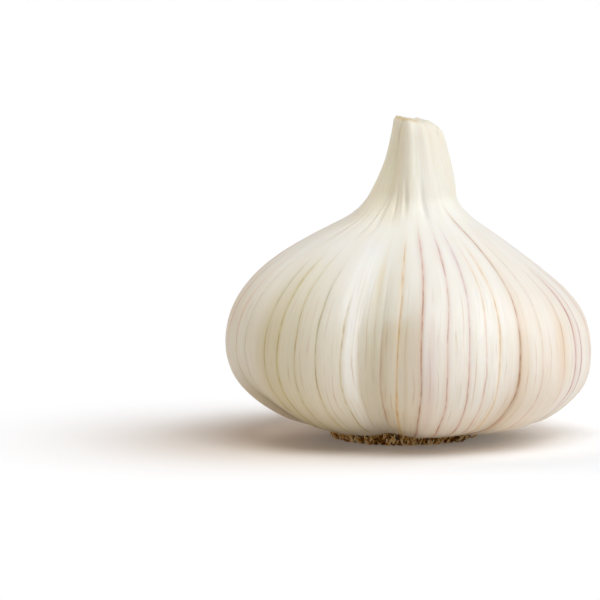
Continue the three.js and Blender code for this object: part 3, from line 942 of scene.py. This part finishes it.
def stubs_tree():
    """Cut roots scattered evenly round a ring, each turned outwards, sized and crumbled at random."""
    tree, inputs = new_tree("root_stubs", {
        "Count": "NodeSocketInt",
        "Inner radius": "NodeSocketFloat",
        "Outer radius": "NodeSocketFloat",
        "Lowest": "NodeSocketFloat",
        "Highest": "NodeSocketFloat",
        "Stub radius": "NodeSocketFloat",
        "Stub length": "NodeSocketFloat",
        "Fibre radius": "NodeSocketFloat",
        "Crumble": "NodeSocketFloat",
        "Seed": "NodeSocketInt",
        "Material": "NodeSocketMaterial",
    })
    points = add(tree, "GeometryNodePoints", {"Count": inputs["Count"]})
    number = tree.nodes.new("GeometryNodeInputIndex")
    golden = math.pi * (3 - math.sqrt(5))
    turn = add(tree, "ShaderNodeMath", {0: number, 1: golden}, operation="MULTIPLY")

    def chance(low, high, stream):
        seed = add(tree, "ShaderNodeMath", {0: inputs["Seed"], 1: float(stream)}, operation="ADD")
        return add(
            tree, "FunctionNodeRandomValue", {2: low, 3: high, "Seed": seed}, data_type="FLOAT",
        ).outputs[1]

    outward = chance(0.0, 1.0, 1)
    radius = add(
        tree, "ShaderNodeMapRange",
        {"Value": outward, "To Min": inputs["Inner radius"], "To Max": inputs["Outer radius"]},
    )
    height = chance(inputs["Lowest"], inputs["Highest"], 2)
    cosine = add(tree, "ShaderNodeMath", {0: turn}, operation="COSINE")
    sine = add(tree, "ShaderNodeMath", {0: turn}, operation="SINE")
    x = add(tree, "ShaderNodeMath", {0: cosine, 1: radius}, operation="MULTIPLY")
    y = add(tree, "ShaderNodeMath", {0: sine, 1: radius}, operation="MULTIPLY")
    spot = add(tree, "ShaderNodeCombineXYZ", {0: x, 1: y, 2: height})
    spread = add(tree, "GeometryNodeSetPosition", {"Geometry": points, "Position": spot})

    stub = add(tree, "GeometryNodeMeshCylinder", {
        "Vertices": 7, "Side Segments": 3, "Radius": inputs["Stub radius"], "Depth": inputs["Stub length"],
    })
    crumb_radius = add(
        tree, "ShaderNodeMath", {0: inputs["Stub radius"], 1: CRUMB_SIZE}, operation="MULTIPLY",
    )
    crumb = add(tree, "GeometryNodeMeshIcoSphere", {"Radius": crumb_radius, "Subdivisions": 2})
    bend = add(tree, "GeometryNodeCurvePrimitiveBezierSegment", {
        "Resolution": 5,
        "Start": (0, 0, -0.5 * MM),
        "Start Handle": (0.7 * MM, 0.1 * MM, 0.1 * MM),
        "End Handle": (0.5 * MM, -0.7 * MM, 0.6 * MM),
        "End": (-0.7 * MM, -0.5 * MM, 0.9 * MM),
    })
    thin = add(
        tree, "GeometryNodeCurvePrimitiveCircle", {"Resolution": 5, "Radius": inputs["Fibre radius"]},
    )
    fibre = add(
        tree, "GeometryNodeCurveToMesh", {"Curve": bend, "Profile Curve": thin, "Fill Caps": True},
    )
    kinds = tree.nodes.new("GeometryNodeGeometryToInstance")
    for shape in (stub, crumb, fibre):  # the last one linked is kind 0
        tree.links.new(shape.outputs[0], kinds.inputs[0])
    # More than half of them are thin fibres.
    pick = add(tree, "ShaderNodeMath", {0: chance(0.0, 1.0, 3), 1: 2.0}, operation="POWER")
    pick = add(tree, "ShaderNodeMath", {0: pick, 1: SHAPES - 0.01}, operation="MULTIPLY")
    pick = add(tree, "ShaderNodeMath", {0: pick}, operation="FLOOR")
    lay_over = add(tree, "ShaderNodeMath", {0: chance(-0.5, 0.7, 4), 1: math.pi / 2}, operation="ADD")
    swing = add(tree, "ShaderNodeMath", {0: chance(-0.7, 0.7, 5), 1: turn}, operation="ADD")
    facing = add(
        tree, "ShaderNodeCombineXYZ", {0: chance(-1.3, 1.3, 6), 1: lay_over, 2: swing},
    )
    facing = add(tree, "FunctionNodeEulerToRotation", {0: facing})
    size = add(tree, "ShaderNodeCombineXYZ", {
        0: chance(0.55, 1.3, 7), 1: chance(0.55, 1.3, 8), 2: chance(0.6, 1.2, 9),
    })
    planted = add(tree, "GeometryNodeInstanceOnPoints", {
        "Points": spread, "Instance": kinds, "Pick Instance": True, "Instance Index": pick,
        "Rotation": facing, "Scale": size,
    })
    is_fibre = add(tree, "ShaderNodeMath", {0: pick, 1: FIBRE_KIND, 2: 0.1}, operation="COMPARE")
    paler = add(tree, "ShaderNodeMath", {0: is_fibre, 1: chance(0.1, 0.95, 10)}, operation="MULTIPLY")
    paler = add(tree, "ShaderNodeMath", {0: paler, 1: chance(0.0, 0.25, 11)}, operation="ADD")
    shaded = add(
        tree, "GeometryNodeStoreNamedAttribute",
        {"Geometry": planted, "Name": "stub_shade", "Value": paler},
        data_type="FLOAT", domain="INSTANCE",
    )
    real = add(tree, "GeometryNodeRealizeInstances", {0: shaded})
    position = tree.nodes.new("GeometryNodeInputPosition")
    rough = add(
        tree, "ShaderNodeTexNoise", {"Vector": position, "Scale": 1.3 / MM, "Detail": 2.0},
    ).outputs["Color"]
    rough = add(tree, "ShaderNodeVectorMath", {0: rough, 1: (0.5, 0.5, 0.5)}, operation="SUBTRACT")
    rough = add(tree, "ShaderNodeVectorMath", {0: rough, "Scale": inputs["Crumble"]}, operation="SCALE")
    crumbled = add(tree, "GeometryNodeSetPosition", {"Geometry": real, "Offset": rough})
    position = tree.nodes.new("GeometryNodeInputPosition")
    above_floor = add(
        tree, "ShaderNodeVectorMath", {0: position, 1: (-1.0, -1.0, 0.0)}, operation="MAXIMUM",
    )
    trimmed = add(tree, "GeometryNodeSetPosition", {"Geometry": crumbled, "Position": above_floor})
    smoothed = add(tree, "GeometryNodeSetShadeSmooth", {"Geometry": trimmed, "Shade Smooth": True})
    painted = add(
        tree, "GeometryNodeSetMaterial", {"Geometry": smoothed, "Material": inputs["Material"]},
    )
    add(tree, "NodeGroupOutput", {0: painted})
    return tree


def make_stubs(material):
    """The ring of root ends round the disc."""
    piece = new_object("root_stubs", bpy.data.meshes.new("root_stubs"))
    return grow(piece, stubs_tree(), {
        "Count": 1600,
        "Inner radius": 10.1 * MM,
        "Outer radius": 11.0 * MM,
        "Lowest": 0.15 * MM,
        "Highest": 2.2 * MM,
        "Stub radius": 0.3 * MM,
        "Stub length": 0.9 * MM,
        "Fibre radius": 0.16 * MM,
        "Crumble": 0.16 * MM,
        "Seed": 11,
        "Material": material,
    })


def centre_on(piece, node):
    """Slides a piece level, so that the middle of its footprint is the CAD node's."""
    low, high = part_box(node)
    points = np.empty(len(piece.data.vertices) * 3)
    piece.data.vertices.foreach_get("co", points)
    points = points.reshape(-1, 3)
    middle = (points.min(0) + points.max(0)) / 2
    points[:, 0] += (low.x + high.x) / 2 - middle[0]
    points[:, 1] += (low.y + high.y) / 2 - middle[1]
    piece.data.vertices.foreach_set("co", points.ravel())
    piece.data.update()


# Stage

# Soft lamps: [name, degrees from the front, degrees above the table, energy, colour].
LAMPS = [
    ("top_box", 18, 65, 1.75, "#eef6ff"),
    ("right_box", 60, 42, 0.88, "#fdfbf8"),
    ("side_box", 100, 42, 0.74, "#f3f9ff"),
    ("back_left_box", -130, 42, 0.9, "#fff6f0"),
]
LAMP_ANGLE = 45  # degrees across, as seen from the bulb
GLOW_STRENGTH = 0.6
GLOW_COLOUR = "#ffd29c"
FLOOR_HALF = 6000
PAPER_TONES = ("#f6f6f6", "#f8f8f8")
PAPER_LIGHT = "#fffefc"
PAPER_LIGHT_STRENGTH = 0.09
# Painted shadow on the paper round the bulb: its colour, share, middle and reach.
PAINTED_SHADOW_TONE = "#bba182"
PAINTED_SHADOW_SHARE = 0.72
PAINTED_SHADOW_MIDDLE = (-18, -4, 0)
PAINTED_SHADOW_REACH = 31
LENS = 255.5  # focal length for a sensor 36 across
EYE_DISTANCE = 700
EYE_ELEVATION = 6  # degrees
AIM = (-17.8, 0, 22.6)


def make_floor():
    """A white sweep that is bright enough to fade into a white background, with a painted shadow round the
    bulb.
    """
    half = FLOOR_HALF * MM
    mesh = bpy.data.meshes.new("floor")
    mesh.from_pydata(
        [(-half, -half, 0), (half, -half, 0), (half, half, 0), (-half, half, 0)], [], [(0, 1, 2, 3)],
    )
    floor = new_object("floor", mesh)
    material, tree = blank_material("white_paper_sweep")
    where = tree.nodes.new("ShaderNodeTexCoord")
    grain = add(
        tree, "ShaderNodeTexNoise",
        {"Vector": where.outputs["Object"], "Scale": 0.06 / MM, "Detail": 3.0},
    )
    white = add(
        tree, "ShaderNodeMix",
        {0: grain, 6: (*linear(PAPER_TONES[0]), 1), 7: (*linear(PAPER_TONES[1]), 1)},
        data_type="RGBA",
    ).outputs[2]
    # Painted shadow: the paper is darker and warmer beside the bulb, and fades back to white away from it.
    away = add(
        tree, "ShaderNodeVectorMath",
        {0: where.outputs["Object"], 1: Vector(PAINTED_SHADOW_MIDDLE) * MM},
        operation="DISTANCE",
    ).outputs[1]
    near = bell(tree, away, PAINTED_SHADOW_REACH * MM)
    near = add(tree, "ShaderNodeMath", {0: near, 1: PAINTED_SHADOW_SHARE}, operation="MULTIPLY")
    white = add(
        tree, "ShaderNodeMix",
        {0: near, 6: white, 7: (*linear(PAINTED_SHADOW_TONE), 1)},
        data_type="RGBA",
    ).outputs[2]
    surface = add(tree, "ShaderNodeBsdfPrincipled", {
        "Base Color": white,
        "Roughness": 0.95,
        "Specular IOR Level": 0.1,
        "Emission Color": (*linear(PAPER_LIGHT), 1),
        "Emission Strength": PAPER_LIGHT_STRENGTH,
    })
    add(tree, "ShaderNodeOutputMaterial", {"Surface": surface})
    mesh.materials.append(material)


def make_light():
    """Four wide soft lamps and a warm glow from low down all round."""
    scene = bpy.context.scene
    world = bpy.data.worlds.new("warm_surround")
    scene.world = world
    world.use_nodes = True
    tree = world.node_tree
    where = tree.nodes.new("ShaderNodeTexCoord")
    split = add(tree, "ShaderNodeSeparateXYZ", {0: where.outputs["Generated"]})
    low = add(tree, "ShaderNodeMath", {0: 1.0, 1: split.outputs[2]}, operation="SUBTRACT", use_clamp=True)
    lower = add(tree, "ShaderNodeMath", {0: low, 1: 3.0}, operation="POWER")
    glow = add(tree, "ShaderNodeMath", {0: lower, 1: GLOW_STRENGTH}, operation="MULTIPLY")
    surround = tree.nodes["Background"]
    surround.inputs[0].default_value = (*linear(GLOW_COLOUR), 1)
    tree.links.new(glow.outputs[0], surround.inputs[1])
    for name, azimuth, elevation, energy, code in LAMPS:
        lamp = bpy.data.lights.new(name, "SUN")
        lamp.energy = energy
        lamp.color = linear(code)
        lamp.angle = math.radians(LAMP_ANGLE)
        light = bpy.data.objects.new(name, lamp)
        scene.collection.objects.link(light)
        across, up = math.radians(azimuth), math.radians(elevation)
        towards = Vector((
            math.sin(across) * math.cos(up), -math.cos(across) * math.cos(up), math.sin(up),
        ))
        light.rotation_euler = towards.to_track_quat("Z", "Y").to_euler()


def make_camera():
    """An eye that looks down a little, with the bulb to the right of the middle."""
    scene = bpy.context.scene
    lens = bpy.data.cameras.new("camera")
    lens.sensor_width = 36
    lens.lens = LENS
    camera = bpy.data.objects.new("camera", lens)
    scene.collection.objects.link(camera)
    scene.camera = camera
    elevation = math.radians(EYE_ELEVATION)
    away = Vector((0, -math.cos(elevation), math.sin(elevation))) * EYE_DISTANCE
    camera.location = (Vector(AIM) + away) * MM
    camera.rotation_euler = (math.pi / 2 - elevation, 0, 0)
    lens.clip_start = 0.01
    lens.clip_end = 50
    scene.view_settings.view_transform = "Standard"
    scene.view_settings.look = "None"


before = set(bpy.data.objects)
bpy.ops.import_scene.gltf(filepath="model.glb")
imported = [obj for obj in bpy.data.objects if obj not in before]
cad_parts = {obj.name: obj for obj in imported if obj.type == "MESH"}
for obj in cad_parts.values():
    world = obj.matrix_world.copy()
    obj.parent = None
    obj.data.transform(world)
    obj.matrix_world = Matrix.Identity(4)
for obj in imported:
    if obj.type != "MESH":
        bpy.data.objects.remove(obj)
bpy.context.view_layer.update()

skin = make_skin(sheath_material())
centre_on(skin, "bulb")
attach(skin, "root")
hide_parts("bulb")

dish = make_dish(dish_material())
stubs = make_stubs(stub_material())
for piece in (dish, stubs):
    centre_on(piece, "root_plate")
    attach(piece, "root")
    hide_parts("root_plate")

make_floor()
make_light()
make_camera()
